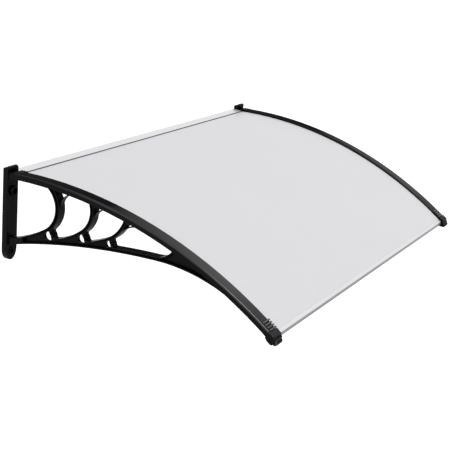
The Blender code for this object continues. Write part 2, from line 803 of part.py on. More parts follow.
def wall_seal(name):
    """Foam strip between the rear profile and the wall."""
    half = -PLATE_INNER - FIT_GAP
    return block(name, (-half, -SEAL_THICKNESS, -SEAL_HEIGHT / 2), (half, 0, SEAL_HEIGHT / 2), CANOPY)


def rear_gasket(name):
    """Rubber bead along the lip's front edge, lying on the sheet."""
    out = REAR_LIP + FIT_GAP + GASKET_WIDTH / 2
    base = sheet_height(out + GASKET_WIDTH / 2, SHEET_TOP) + FIT_GAP
    y, half = -out, GASKET_WIDTH / 2
    steps = 5
    bead = [
        (y + half * math.cos(math.pi * i / steps), base + GASKET_HEIGHT * math.sin(math.pi * i / steps))
        for i in range(steps + 1)
    ]
    reach = -RAIL_INNER - FIT_GAP
    return slab(name, [bead], -reach, reach, CANOPY)


def placed(obj, radius, angle):
    """Moves an object drawn as (x, along, up) to a place round the canopy's curve."""
    turn = Matrix.Rotation(angle, 4, "X") @ Matrix.Scale(-1, 4, (0, 1, 0))
    obj.data.transform(Matrix.Translation(curve_point(0, radius, angle)) @ turn)
    obj.data.flip_normals()
    return obj


def front_profile(name):
    """A channel over the sheet's front edge, behind an upright face that ends in a drip edge."""
    gap = SHEET_THICKNESS / 2 + FIT_GAP
    high, nose = gap + FRONT_WALL, FIT_GAP + FRONT_WALL
    angle = END_ANGLE - SHEET_SHORT / SHEET_TOP
    down = Vector((math.sin(angle), -math.cos(angle)))
    face_back = Vector((nose, high)) + FRONT_WALL * Vector((-math.cos(angle), -math.sin(angle)))
    section = [
        (nose, high),
        (-FRONT_LIP, high),
        (-FRONT_LIP, gap),
        (FIT_GAP, gap),
        (FIT_GAP, -gap),
        (-FRONT_LIP, -gap),
        (-FRONT_LIP, -high),
        tuple(face_back + down * (face_back.y + high) / math.cos(angle)),
        tuple(face_back + down * FRONT_FACE),
        tuple(Vector((nose, high)) + down * FRONT_FACE),
    ]
    reach = -RAIL_INNER - COLLAR_WALL - FIT_GAP
    profile = slab(name, [section], -reach, reach, CANOPY)
    placed(profile, SHEET_TOP - SHEET_THICKNESS / 2, angle)
    round_edges(profile, FRONT_WALL / 3, 1)
    return settled(profile)


def cap_outline():
    """The front cap's body from the side: distance past the rail's end, height above its top."""
    back, front = -CAP_OVERLAP, BODY_LENGTH - CAP_OVERLAP
    step = COLLAR_LENGTH - CAP_OVERLAP
    shoulder = COLLAR_WALL - STEP_DROP
    return rounded(
        [
            (back, COLLAR_WALL, COLLAR_WALL / 2),
            (back, -RAIL_HEIGHT - COLLAR_BASE, COLLAR_WALL / 2),
            (-HEEL_BEFORE_END, -BODY_DEPTH, HEEL_ROUNDING),
            (front, -BODY_DEPTH, BODY_FRONT_ROUNDING),
            (front, shoulder - BODY_SLOPE, BODY_TOP_ROUNDING),
            (step + STEP_LENGTH, shoulder, STEP_LENGTH / 2),
            (step, COLLAR_WALL, STEP_LENGTH),
        ]
    )


def box_front(low, high, bottom, top, rounding):
    """A box seen from the front, with rounded corners."""
    corners = (low, bottom), (high, bottom), (high, top), (low, top)
    return rounded([(*corner, rounding) for corner in corners])


def cap_dome(low, high):
    """The cap's front: oval rings that draw in towards the front, joined up."""
    rim = CAP_LENGTH - CAP_OVERLAP - DOME_RISE
    rings = [(0, 0)]
    for i in range(DOME_STEPS + 1):
        turn = math.radians(90 * i / DOME_STEPS)
        rings.append((DOME_ROUNDING * (1 - math.cos(turn)), rim + DOME_RISE * math.sin(turn)))
    bm = bmesh.new()
    made = []
    for inset, along in rings:
        corner = DOME_CORNERS - inset
        ring = []
        for x, sign_x, z, sign_z, start in (
            (high, -1, -DOME_TOP, -1, 0),
            (low, 1, -DOME_TOP, -1, 90),
            (low, 1, -DOME_DEPTH, 1, 180),
            (high, -1, -DOME_DEPTH, 1, 270),
        ):
            middle = x + sign_x * (inset + corner), z + sign_z * (inset + corner)
            for i in range(DOME_STEPS + 1):
                way = math.radians(start + 90 * i / DOME_STEPS)
                point = middle[0] + corner * math.cos(way), along, middle[1] + corner * math.sin(way)
                ring.append(bm.verts.new(point))
        made.append(ring)
    for ring, after in zip(made, made[1:]):
        for i, vert in enumerate(ring):
            bm.faces.new((ring[i - 1], vert, after[i], after[i - 1]))
    bm.faces.new(made[0])
    bm.faces.new(made[-1])
    return placed(add_object("cap dome", mesh_from(bm, "cap dome"), HELPERS), CURVE_RADIUS, END_ANGLE)


def front_cap(name):
    """Collar over the rail's end, stepped down to a body with a domed front, as one moulding."""
    low, high = RAIL_OUTER - COLLAR_WALL, RAIL_INNER + COLLAR_WALL
    cap = placed(slab(name, [cap_outline()], low, high, CANOPY), CURVE_RADIUS, END_ANGLE)
    sides = box_front(low, high, -BODY_DEPTH, COLLAR_WALL, BODY_SIDE_ROUNDING)
    ends = slab("cap ends", [sides], -CAP_LENGTH, CAP_LENGTH, HELPERS, FRONT_VIEW)
    boolean(cap, "INTERSECT", placed(ends, CURVE_RADIUS, END_ANGLE))
    boolean(cap, "UNION", cap_dome(low + DOME_INSET, high - DOME_INSET))
    back = angle_at(REACH - 2 * CAP_OVERLAP, CURVE_RADIUS)
    past = END_ANGLE + FIT_GAP / CURVE_RADIUS
    boolean(cap, "DIFFERENCE", swept("rail end", rail_section(FIT_GAP, COLLAR_LENGTH), back, past, HELPERS))
    angle = END_ANGLE + DIMPLE_PAST_END / CURVE_RADIUS
    side = CURVE_RADIUS - (BODY_DEPTH - COLLAR_WALL) / 2
    dimple = cylinder(
        "dimple",
        DIMPLE_RADIUS,
        curve_point(low - COLLAR_WALL, side, angle),
        curve_point(low + DIMPLE_DEPTH, side, angle),
        20,
        HELPERS,
    )
    for cutter in (dimple, cap_screw_hole(), cap_screw_recess()):
        boolean(cap, "DIFFERENCE", cutter)
    return settled(cap)


def cap_screw_base():
    """Radius, round the curve's middle, at which the cap screw's head seats."""
    return RAIL_BOTTOM - FIT_GAP - COLLAR_WALL


def cap_screw_recess():
    angle = cap_screw_angle()
    return cylinder(
        "cap screw recess",
        SCREW_HEAD_RADIUS + FIT_GAP,
        curve_point(RAIL_MIDDLE, cap_screw_base() - BODY_DEPTH, angle),
        curve_point(RAIL_MIDDLE, cap_screw_base(), angle),
        14,
        HELPERS,
    )


def screw(name, base, up, length):
    """A pan-head screw whose head seats just under a base point, and whose tip points up."""
    radii = [
        (0, -SCREW_HEAD_HEIGHT),
        (SCREW_HEAD_RADIUS * 0.6, -SCREW_HEAD_HEIGHT),
        (SCREW_HEAD_RADIUS, -SCREW_HEAD_HEIGHT * 0.5),
        (SCREW_HEAD_RADIUS, 0),
        (SCREW_RADIUS, 0),
        (SCREW_RADIUS, length - 2 * SCREW_RADIUS),
        (0, length),
    ]
    bm = bmesh.new()
    points = [bm.verts.new((radius, 0, z)) for radius, z in radii]
    edges = [bm.edges.new(pair) for pair in zip(points, points[1:])]
    bmesh.ops.spin(
        bm, geom=[*points, *edges], cent=(0, 0, 0), axis=(0, 0, 1), angle=2 * math.pi, steps=12
    )
    bmesh.ops.remove_doubles(bm, verts=bm.verts, dist=1e-6)
    up = Vector(up).normalized()
    seat = Vector(base) - up * FIT_GAP
    turn = up.to_track_quat("Z", "Y").to_matrix().to_4x4()
    bmesh.ops.transform(bm, verts=bm.verts, matrix=Matrix.Translation(seat) @ turn)
    return add_object(name, mesh_from(bm, name), CANOPY)


def screws():
    """The self-tapping screws of the left side."""
    made = []
    place = ("rear", "middle", "front")
    for where, out in zip(place, RAIL_SCREWS_OUT):
        angle = screw_angle(out)
        base = curve_point(RAIL_INNER - SCREW_IN_RAIL, RAIL_BOTTOM, angle)
        up = curve_point(0, 1, angle) - curve_point(0, 0, angle)
        made.append(screw(f"rail_screw_{where}_left", base, up, SCREW_LENGTH))
    x, y = rear_screw_place()
    made.append(screw("rear_profile_screw_left", (x, y, -SEAL_HEIGHT / 2), (0, 0, 1), rear_screw_length()))
    angle = cap_screw_angle()
    up = curve_point(0, 1, angle) - curve_point(0, 0, angle)
    base = curve_point(RAIL_MIDDLE, cap_screw_base(), angle)
    made.append(screw("front_cap_screw_left", base, up, CAP_SCREW_LENGTH))
    return made


# Finishes.


def material(name, colour, roughness, metallic=0.0, transmission=0.0):
    made = bpy.data.materials.new(name)
    made.use_nodes = True
    shader = made.node_tree.nodes["Principled BSDF"]
    shader.inputs["Base Color"].default_value = (*colour, 1)
    shader.inputs["Roughness"].default_value = roughness
    shader.inputs["Metallic"].default_value = metallic
    shader.inputs["Transmission Weight"].default_value = transmission
    return made


def dress(pieces, finish):
    for piece in pieces:
        own = finish.copy()
        own.name = f"{piece.name} {finish.name}"
        piece.data.materials.clear()
        piece.data.materials.append(own)
        piece.data.shade_smooth()
        piece.data.set_sharp_from_angle(angle=math.radians(32))


def main():
    left = bracket("bracket_left")
    right = mirrored(left, "bracket_right")
    cap = front_cap("front_cap_left")
    other_cap = mirrored(cap, "front_cap_right")
    sheet = roof_sheet("roof_sheet")
    rear, front = rear_profile("rear_profile"), front_profile("front_profile")
    seal, gasket = wall_seal("wall_seal"), rear_gasket("rear_gasket")
    left_screws = screws()
    right_screws = [mirrored(piece, piece.name.replace("_left", "_right")) for piece in left_screws]
    dress([left, right, cap, other_cap], material("black moulded plastic", (0.012, 0.012, 0.013), 0.35))
    dress([sheet], material("opal polycarbonate", (0.72, 0.72, 0.76), 0.3, transmission=0.3))
    dress([rear, front], material("anodised aluminium", (0.80, 0.81, 0.82), 0.35, metallic=1.0))
    dress([seal, gasket], material("dark rubber", (0.05, 0.05, 0.055), 0.8))
    dress([*left_screws, *right_screws], material("zinc plated steel", (0.6, 0.6, 0.62), 0.35, 1.0))


for old in list(bpy.data.objects):
    bpy.data.objects.remove(old)
CANOPY = bpy.data.collections.new("door_canopy")
HELPERS = bpy.data.collections.new("cutters")
bpy.context.scene.collection.children.link(CANOPY)
bpy.context.scene.collection.children.link(HELPERS)
main()
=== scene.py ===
"""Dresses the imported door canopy: finishes, detailed screws, floor, lamps and camera."""

import json
import math

import bmesh
import bpy
from bpy.props import FloatProperty, FloatVectorProperty, PointerProperty
from mathutils import Euler, Matrix, Vector

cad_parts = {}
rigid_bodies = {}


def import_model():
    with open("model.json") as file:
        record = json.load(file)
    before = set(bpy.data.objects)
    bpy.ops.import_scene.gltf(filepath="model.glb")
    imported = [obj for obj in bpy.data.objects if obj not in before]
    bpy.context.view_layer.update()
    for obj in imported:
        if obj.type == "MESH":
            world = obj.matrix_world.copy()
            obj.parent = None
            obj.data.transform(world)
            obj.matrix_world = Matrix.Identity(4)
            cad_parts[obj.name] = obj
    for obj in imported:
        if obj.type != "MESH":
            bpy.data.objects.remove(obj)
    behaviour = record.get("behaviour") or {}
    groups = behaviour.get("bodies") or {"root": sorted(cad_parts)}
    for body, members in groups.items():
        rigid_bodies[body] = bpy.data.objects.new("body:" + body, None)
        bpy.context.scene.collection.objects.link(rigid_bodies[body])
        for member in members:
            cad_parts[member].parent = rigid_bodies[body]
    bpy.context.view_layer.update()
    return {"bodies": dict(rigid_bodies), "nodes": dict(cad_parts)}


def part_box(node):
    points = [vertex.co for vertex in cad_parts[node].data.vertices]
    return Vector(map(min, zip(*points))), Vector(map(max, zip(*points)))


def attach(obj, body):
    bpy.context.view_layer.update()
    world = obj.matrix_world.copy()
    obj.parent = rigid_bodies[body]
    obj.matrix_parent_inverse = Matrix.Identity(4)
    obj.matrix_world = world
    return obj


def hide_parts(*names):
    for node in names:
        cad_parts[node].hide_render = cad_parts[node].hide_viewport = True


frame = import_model()

bl_info = {
    "name": "Door Canopy",
    "version": (1, 0, 0),
    "blender": (4, 5, 0),
    "location": "View3D > Sidebar > Canopy",
    "description": "Finishes for a bowed door canopy, with its screws and a plain studio",
    "category": "Object",
}

MM = 0.001
SIDES = ("left", "right")
WELD = 1e-6  # corners of the solids' facets that are one corner
SHARP_EDGE = math.radians(32)  # edges of the mouldings and extrusions that stay sharp
SHARP_SCREW_EDGE = math.radians(35)

# The bow, and the cross ribs on the rails near both ends.
BOW_MIDDLE = Vector((0.0, -0.045, -1.157))  # seen from the side
RAIL_TOP = 1.171  # radius of the bow at the top of the rails
RIB_END = 0.613  # the ribs' outer ends in the solids, from the middle of the canopy
RIB_REACH = 0.6194  # where the skin takes them to, at the rail's rounded shoulder
RIB_PITCH = 7.2 * MM
RIB_RADIUS = 2.4 * MM
RIB_SINK = 0.6 * MM  # rib's axis below the rail's top
RIB_FOOT = 0.2 * MM  # how far below the rail's top a rib's end is looked for
RIB_CORNER_GAP = 0.2 * RIB_PITCH / RAIL_TOP  # widest turn between two corners of one rib

# Self-tapping screw, head down the local -Z.
SCREW_CORE = 1.15 * MM
SCREW_CREST = 1.5 * MM
SCREW_PITCH = 1.25 * MM
SCREW_TIP = 0.05 * MM
THREAD_RINGS = 8  # to a turn
THREAD_SLOPE = 0.22  # width of the thread's flank, as a share of the pitch
HEAD_RADIUS = 2.8 * MM
HEAD_HEIGHT = 2.0 * MM
# The domed head from its top down, as shares of its height and radius.
HEAD_OUTLINE = ((1.0, 0.52), (0.92, 0.74), (0.66, 0.93), (0.35, 1.0), (0.05, 1.0), (0.0, 0.96))
NECK_RADIUS = 0.95 * SCREW_CREST
RECESS_ARM = 0.9 * MM
RECESS_SPAN = 3.2 * MM
RECESS_DEPTH = 1.1 * MM
RECESS_TOP_SHARE = 1.1  # of the arm and the span, where the cutter stands out of the head
RECESS_ARM_SHARE = 0.7  # of the arm, at the bottom
RECESS_SPAN_SHARE = 0.45  # of the span, at the bottom
RECESS_RISE = 0.3 * RECESS_DEPTH  # of the cutter out of the head
ROUND_STEPS = 24

# Camera, fitted to the photograph.
CAMERA_PLACE = (-2.7535, -1.6947, 0.7033)
CAMERA_TURN = (74.0625, -4.1197, -61.3441)  # degrees round X, Y and Z
LENS_SHIFT = (0.02185, -0.0203)

# Studio: the way to the soft key lamp, the width that it is seen under, and the floor.
KEY_TOWARDS = (-0.05, -0.42, 0.91)
KEY_SPREAD = math.radians(10)
FLOOR_HALF_WIDTH = 60.0
FLOOR_LIFT = 0.35  # glow that takes the floor to white for the camera

# Sockets of a Mix node that mixes colours. A Map Range node takes a value, its low and high
# and the results there, in this order.
MIX_A, MIX_B, MIX_RESULT = 6, 7, 2


def linear(code):
    """An sRGB hex colour as the linear red, green and blue that Blender takes."""
    parts = [int(code[i : i + 2], 16) / 255 for i in (1, 3, 5)]
    return tuple(c / 12.92 if c <= 0.04045 else ((c + 0.055) / 1.055) ** 2.4 for c in parts)


def tint(colour, share=1.0):
    """A colour with alpha, made lighter or darker by a share."""
    return (*(min(1.0, c * share) for c in colour), 1.0)


def set_inputs(tree, node, inputs):
    """Sets or links inputs, by name or in their order. A node stands for its first output."""
    named = inputs if isinstance(inputs, dict) else dict(enumerate(inputs))
    for socket, value in named.items():
        if isinstance(value, bpy.types.Node):
            value = value.outputs[0]
        if isinstance(value, bpy.types.NodeSocket):
            tree.links.new(value, node.inputs[socket])
        else:
            node.inputs[socket].default_value = value


def add_node(tree, kind, inputs=(), **settings):
    """Adds a node with its settings, and sets or links its inputs."""
    made = tree.nodes.new(kind)
    for name, value in settings.items():
        setattr(made, name, value)
    set_inputs(tree, made, inputs)
    return made


def new_finish(name, values):
    """A material with a Principled shader. Returns the material, its tree and the shader."""
    made = bpy.data.materials.new(name)
    made.use_nodes = True
    shader = made.node_tree.nodes["Principled BSDF"]
    set_inputs(made.node_tree, shader, values)
    return made, made.node_tree, shader


def rib_turns(bm, side):
    """How far along the bow each cross rib of a side lies, read off the ribs' outer ends."""
    turns = []
    for vert in bm.verts:
        out = vert.co - BOW_MIDDLE
        at_end = abs(side * out.x - RIB_END) < WELD
        if at_end and math.hypot(out.y, out.z) > RAIL_TOP - RIB_FOOT:
            turns.append(math.atan2(-out.y, out.z))
    ribs = []
    for turn in sorted(turns):
        if ribs and turn - ribs[-1][-1] <= RIB_CORNER_GAP:
            ribs[-1].append(turn)
        else:
            ribs.append([turn])
    return [(rib[0] + rib[-1]) / 2 for rib in ribs]


def lengthen_ribs(bm):
    """Takes the cross ribs out to the rail's shoulder, with a round bar before each outer end."""
    for side in (-1, 1):
        for turn in rib_turns(bm, side):
            radius = RAIL_TOP - RIB_SINK
            middle = BOW_MIDDLE + Vector((0, -radius * math.sin(turn), radius * math.cos(turn)))
            middle.x = side * (RIB_END + RIB_REACH) / 2
            bmesh.ops.create_cone(
                bm,
                cap_ends=True,
                segments=ROUND_STEPS,
                radius1=RIB_RADIUS,
                radius2=RIB_RADIUS,
                depth=RIB_REACH - RIB_END,
                matrix=Matrix.Translation(middle) @ Matrix.Rotation(math.pi / 2, 4, "Y"),
            )


def dress(node, finish, add_detail=None):
    """Stands a welded, smoothly shaded copy with a finish in for a CAD node."""
    bm = bmesh.new()
    bm.from_mesh(frame["nodes"][node].data)
    bmesh.ops.remove_doubles(bm, verts=bm.verts, dist=WELD)
    if add_detail:
        add_detail(bm)
    # The mesh is built anew from points and faces, without the facets' own flat normals.
    bm.verts.index_update()
    points = [tuple(vert.co) for vert in bm.verts]
    faces = [[vert.index for vert in face.verts] for face in bm.faces]
    bm.free()
    mesh = bpy.data.meshes.new(f"{node} skin")
    mesh.from_pydata(points, [], faces)
    mesh.materials.append(finish)
    mesh.shade_smooth()
    mesh.set_sharp_from_angle(angle=SHARP_EDGE)
    piece = bpy.data.objects.new(f"{node}_skin", mesh)
    bpy.context.scene.collection.objects.link(piece)
    modifier = piece.modifiers.new("normals follow the large faces", "WEIGHTED_NORMAL")
    modifier.keep_sharp = True
    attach(piece, "root")
    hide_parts(node)


class CanopyFinishes(bpy.types.PropertyGroup):
    plastic: FloatVectorProperty(
        name="Plastic",
        description="Moulded brackets and caps",
        subtype="COLOR",
        default=linear("#0B0B0C"),
    )
    plastic_grain: FloatProperty(
        name="Plastic grain",
        description="Size of the mould's texture",
        default=1.1 * MM,
        min=0.1 * MM,
        unit="LENGTH",
    )
    # Painted light and shade: the two sides get different levels, the right one lower, on one and the same
    # plastic.
    gloss_left: FloatProperty(
        name="Left gloss",
        description="Specular level of the left mouldings' tops and shoulders",
        default=0.44,
        min=0,
        max=1,
        subtype="FACTOR",
    )
    gloss_right: FloatProperty(
        name="Right gloss",
        description="Specular level of the right mouldings' tops and shoulders",
        default=0.14,
        min=0,
        max=1,
        subtype="FACTOR",
    )
    sheet: FloatVectorProperty(
        name="Sheet", description="Opal roof sheet", subtype="COLOR", default=linear("#D3D3D6")
    )
    aluminium: FloatVectorProperty(
        name="Aluminium",
        description="Rear and front profiles",
        subtype="COLOR",
        default=linear("#E1E2E3"),
    )
    # Painted shade: a darker colour for the profiles' upright front faces.
    front_face_shade: FloatVectorProperty(
        name="Shaded faces",
        description="Upright front faces of the profiles",
        subtype="COLOR",
        default=linear("#838486"),
    )
    brush_width: FloatProperty(
        name="Brush lines",
        description="Width of the lines along the profiles",
        default=0.7 * MM,
        min=0.1 * MM,
        unit="LENGTH",
    )
    rubber: FloatVectorProperty(
        name="Rubber", description="Gasket and wall seal", subtype="COLOR", default=linear("#2A2A2D")
    )
    zinc: FloatVectorProperty(
        name="Zinc", description="Plating of the screws", subtype="COLOR", default=linear("#C9CBCD")
    )


class CanopyStage(bpy.types.PropertyGroup):
    floor_drop: FloatProperty(
        name="Floor",
        description="From the canopy's origin down to the floor",
        default=2.15,
        unit="LENGTH",
    )
    floor: FloatVectorProperty(
        name="Floor colour", description="Pale studio floor", subtype="COLOR", default=linear("#F4F4F4")
    )
    lens: FloatProperty(name="Lens", description="Focal length in millimetres", default=90.67, min=10)
    key: FloatProperty(name="Key lamp", description="Strength of the lamp overhead", default=1.85, min=0)
    ambient: FloatProperty(
        name="Ambient", description="Strength of the light from all round", default=0.5, min=0
    )


def bow_radius(tree, place):
    """How far a point lies from the middle of the bow, seen from the side."""
    out = add_node(tree, "ShaderNodeVectorMath", (place, BOW_MIDDLE), operation="SUBTRACT")
    flat = add_node(tree, "ShaderNodeVectorMath", (out, (0, 1, 1)), operation="MULTIPLY")
    return add_node(tree, "ShaderNodeVectorMath", (flat,), operation="LENGTH").outputs["Value"]


def painted_sheen_on_bracket(tree, place, across, upward):
    """Where a bracket gets its painted sheen: its rounded shoulders (painted highlight), with painted
    shade on the rails near the wall, and the tops that aren't steep."""
    shoulder = add_node(tree, "ShaderNodeMath", (across, upward), operation="MULTIPLY")
    shoulder = add_node(tree, "ShaderNodeMapRange", (shoulder, 0.12, 0.3))
    radius = bow_radius(tree, place)
    on_rail = add_node(tree, "ShaderNodeMapRange", (radius, RAIL_TOP - 12 * MM, RAIL_TOP - 8 * MM))
    # Painted shade: the rails' sheen falls off near the wall.
    from_wall = add_node(tree, "ShaderNodeSeparateXYZ", (place,)).outputs["Y"]
    near_wall = add_node(tree, "ShaderNodeMapRange", (from_wall, -0.30, -0.12))
    wall_shade = add_node(tree, "ShaderNodeMath", (on_rail, near_wall), operation="MULTIPLY")
    kept = add_node(tree, "ShaderNodeMapRange", (wall_shade, 0.0, 1.0, 1.0, 0.2))
    shoulder = add_node(tree, "ShaderNodeMath", (shoulder, kept), operation="MULTIPLY")
    top = add_node(tree, "ShaderNodeMapRange", (upward, 0.78, 0.88))
    return add_node(tree, "ShaderNodeMath", (shoulder, top), operation="MAXIMUM")


def painted_sheen_on_cap(tree, across, upward):
    """Where a front cap gets its painted sheen: most at the rim between its sides and front, then its top.
    """
    off_rim = add_node(tree, "ShaderNodeMath", (across, 0.62), operation="SUBTRACT")
    off_rim = add_node(tree, "ShaderNodeMath", (off_rim,), operation="ABSOLUTE")
    rim = add_node(tree, "ShaderNodeMapRange", (off_rim, 0.3, 0.1, 0.0, 1.8))
    top = add_node(tree, "ShaderNodeMapRange", (upward, 0.55, 0.8, 0.0, 0.3))
    return add_node(tree, "ShaderNodeMath", (rim, top), operation="MAXIMUM")


def painted_crest_highlight(tree, place):
    """A painted highlight on the crests of the front ribs."""
    low, high = RAIL_TOP + 0.6 * MM, RAIL_TOP + 1.4 * MM
    crest = add_node(tree, "ShaderNodeMapRange", (bow_radius(tree, place), low, high, 0.0, 0.8))
    from_wall = add_node(tree, "ShaderNodeSeparateXYZ", (place,)).outputs["Y"]
    at_front = add_node(tree, "ShaderNodeMapRange", (from_wall, -0.60, -0.62))
    return add_node(tree, "ShaderNodeMath", (crest, at_front), operation="MULTIPLY")


def moulded_abs(look, piece, side):
    # Injection moulded ABS, through-coloured black, from a spark-eroded mould: satin, with a
    # grain of about 0.2 mm that is drawn coarser so that it shows, and soft moulded edges.
    # The right side's tops and shoulders get a lower specular level than the left's: painted shade on one
    # of two copies of the same plastic.
    finish, tree, shader = new_finish(f"black moulded ABS, {piece} {side}", {"IOR": 1.53})
    place = add_node(tree, "ShaderNodeTexCoord").outputs["Object"]
    flow = add_node(tree, "ShaderNodeTexNoise", {"Vector": place, "Scale": 1 / (45 * MM), "Detail": 3.0})
    grain = add_node(
        tree, "ShaderNodeTexNoise", {"Vector": place, "Scale": 1 / look.plastic_grain, "Detail": 2.0}
    )
    shades = {"Factor": flow, MIX_A: tint(look.plastic, 0.8), MIX_B: tint(look.plastic, 1.25)}
    colour = add_node(tree, "ShaderNodeMix", shades, data_type="RGBA")
    edges = add_node(tree, "ShaderNodeBevel", {"Radius": 0.7 * MM}, samples=6)
    bump = {"Strength": 0.25, "Distance": 0.05 * MM, "Height": grain, "Normal": edges}
    # The specular level is painted by how a face turns and where it lies: low on upright and level faces,
    #     painted shade in hollows and on the rails near the wall, a painted highlight on shoulders and
    #     slopes.
    facing = add_node(tree, "ShaderNodeSeparateXYZ", (edges,)).outputs
    across = add_node(tree, "ShaderNodeMath", (facing["X"],), operation="ABSOLUTE")
    if piece == "bracket":
        painted_sheen = painted_sheen_on_bracket(tree, place, across, facing["Z"])
    else:
        painted_sheen = painted_sheen_on_cap(tree, across, facing["Z"])
    gloss = look.gloss_left if side == "left" else look.gloss_right
    painted_sheen = add_node(tree, "ShaderNodeMath", (painted_sheen, gloss), operation="MULTIPLY")
    base_level = add_node(tree, "ShaderNodeMapRange", (across, 0.2, 0.9, 0.02, 0.06))
    shine = add_node(tree, "ShaderNodeMath", (base_level, painted_sheen), operation="MAXIMUM")
    sloping = add_node(tree, "ShaderNodeMapRange", (facing["Z"], 0.975, 0.86, 0.005))
    shine = add_node(tree, "ShaderNodeMath", (shine, sloping), operation="MULTIPLY")
    # Painted shade: the specular level falls in hollows, by ambient occlusion.
    sky = add_node(tree, "ShaderNodeAmbientOcclusion", {"Distance": 6 * MM}, samples=8)
    in_the_open = add_node(tree, "ShaderNodeMapRange", (sky.outputs["AO"], 0.62, 0.95))
    shine = add_node(tree, "ShaderNodeMath", (shine, in_the_open), operation="MULTIPLY")
    # Painted highlight on the crests of the front ribs.
    if piece == "bracket":
        shine = add_node(tree, "ShaderNodeMath", (shine, painted_crest_highlight(tree, place)), operation="MAXIMUM")
    surface = {
        "Base Color": colour.outputs[MIX_RESULT],
        "Roughness": add_node(tree, "ShaderNodeMapRange", (flow, 0.3, 0.7, 0.31, 0.36)),
        "Normal": add_node(tree, "ShaderNodeBump", bump),
        "Specular IOR Level": shine,
    }
    set_inputs(tree, shader, surface)
    return finish


class CANOPY_OT_mouldings(bpy.types.Operator):
    """Black ABS on the brackets and front caps"""

    bl_idname = "canopy.mouldings"
    bl_label = "Mouldings"

    def execute(self, context):
        look = context.scene.canopy_finishes
        for side in SIDES:
            finish = moulded_abs(look, "bracket", side)
            dress(f"bracket_{side}", finish, lengthen_ribs)
        for side in SIDES:
            dress(f"front_cap_{side}", moulded_abs(look, "front_cap", side))
        return {"FINISHED"}


def opal_polycarbonate(look):
    # Extruded opal polycarbonate: a milky body that spreads the light inside it, a little
    # cooler than white, under a smooth skin with a very faint ripple from the rollers.
    milky = {
        "IOR": 1.58,
        "Roughness": 0.34,
        "Specular IOR Level": 0.1,
        "Subsurface Weight": 0.3,
        "Subsurface Scale": 4 * MM,
        "Subsurface Radius": (1.0, 1.0, 1.05),
    }
    finish, tree, shader = new_finish("opal polycarbonate", milky)
    place = add_node(tree, "ShaderNodeTexCoord").outputs["Object"]
    milk = add_node(tree, "ShaderNodeTexNoise", {"Vector": place, "Scale": 1 / (160 * MM), "Detail": 2.0})
    shades = {"Factor": milk, MIX_A: tint(look.sheet, 0.985), MIX_B: tint(look.sheet, 1.015)}
    colour = add_node(tree, "ShaderNodeMix", shades, data_type="RGBA")
    ripple = add_node(tree, "ShaderNodeTexNoise", {"Vector": place, "Scale": 1 / (14 * MM), "Detail": 1.0})
    bump = {"Strength": 0.08, "Distance": 0.05 * MM, "Height": ripple}
    surface = {
        "Base Color": colour.outputs[MIX_RESULT],
        "Normal": add_node(tree, "ShaderNodeBump", bump),
    }
    set_inputs(tree, shader, surface)
    return finish


class CANOPY_OT_sheet(bpy.types.Operator):
    """Opal polycarbonate on the roof sheet"""

    bl_idname = "canopy.sheet"
    bl_label = "Roof sheet"

    def execute(self, context):
        dress("roof_sheet", opal_polycarbonate(context.scene.canopy_finishes))
        return {"FINISHED"}


def anodised_aluminium(look):
    # Extruded aluminium, brushed along its length and anodised: a pale satin metal whose
    # fine lines run along the canopy's width.
    finish, tree, shader = new_finish("satin anodised aluminium", {"Metallic": 1.0})
    place = add_node(tree, "ShaderNodeTexCoord").outputs["Object"]
    drawn = add_node(tree, "ShaderNodeMapping", {"Vector": place, "Scale": (0.004, 1.0, 1.0)})
    lines = add_node(
        tree, "ShaderNodeTexNoise", {"Vector": drawn, "Scale": 1 / look.brush_width, "Detail": 3.0}
    )
    shades = {"Factor": lines, MIX_A: tint(look.aluminium, 0.90), MIX_B: tint(look.aluminium)}
    colour = add_node(tree, "ShaderNodeMix", shades, data_type="RGBA")
    # Painted shade: the upright front faces are given a darker colour.
    normal = add_node(tree, "ShaderNodeNewGeometry").outputs["Normal"]
    away = add_node(tree, "ShaderNodeSeparateXYZ", (normal,)).outputs["Y"]
    front = add_node(tree, "ShaderNodeMapRange", (away, -0.85, -0.97))
    shades = {"Factor": front, MIX_A: colour.outputs[MIX_RESULT], MIX_B: tint(look.front_face_shade)}
    colour = add_node(tree, "ShaderNodeMix", shades, data_type="RGBA")
    edges = add_node(tree, "ShaderNodeBevel", {"Radius": 0.3 * MM}, samples=4)
    bump = {"Strength": 0.15, "Distance": 0.03 * MM, "Height": lines, "Normal": edges}
    surface = {
        "Base Color": colour.outputs[MIX_RESULT],
        "Roughness": add_node(tree, "ShaderNodeMapRange", (lines, 0.3, 0.7, 0.36, 0.48)),
        "Normal": add_node(tree, "ShaderNodeBump", bump),
    }
    set_inputs(tree, shader, surface)
    return finish


class CANOPY_OT_profiles(bpy.types.Operator):
    """Satin anodised aluminium on the rear and front profiles"""

    bl_idname = "canopy.profiles"
    bl_label = "Edge profiles"

    def execute(self, context):
        finish = anodised_aluminium(context.scene.canopy_finishes)
        for node in ("rear_profile", "front_profile"):
            dress(node, finish)
        return {"FINISHED"}


def epdm_rubber(look):
    # Extruded EPDM rubber: dull black with a bloom that is a little uneven.
    finish, tree, shader = new_finish("extruded EPDM rubber", {"Roughness": 0.62})
    place = add_node(tree, "ShaderNodeTexCoord").outputs["Object"]
    bloom = add_node(tree, "ShaderNodeTexNoise", {"Vector": place, "Scale": 1 / (9 * MM), "Detail": 3.0})
    shades = {"Factor": bloom, MIX_A: tint(look.rubber, 0.8), MIX_B: tint(look.rubber, 1.3)}
    colour = add_node(tree, "ShaderNodeMix", shades, data_type="RGBA")
    set_inputs(tree, shader, {"Base Color": colour.outputs[MIX_RESULT]})
    return finish


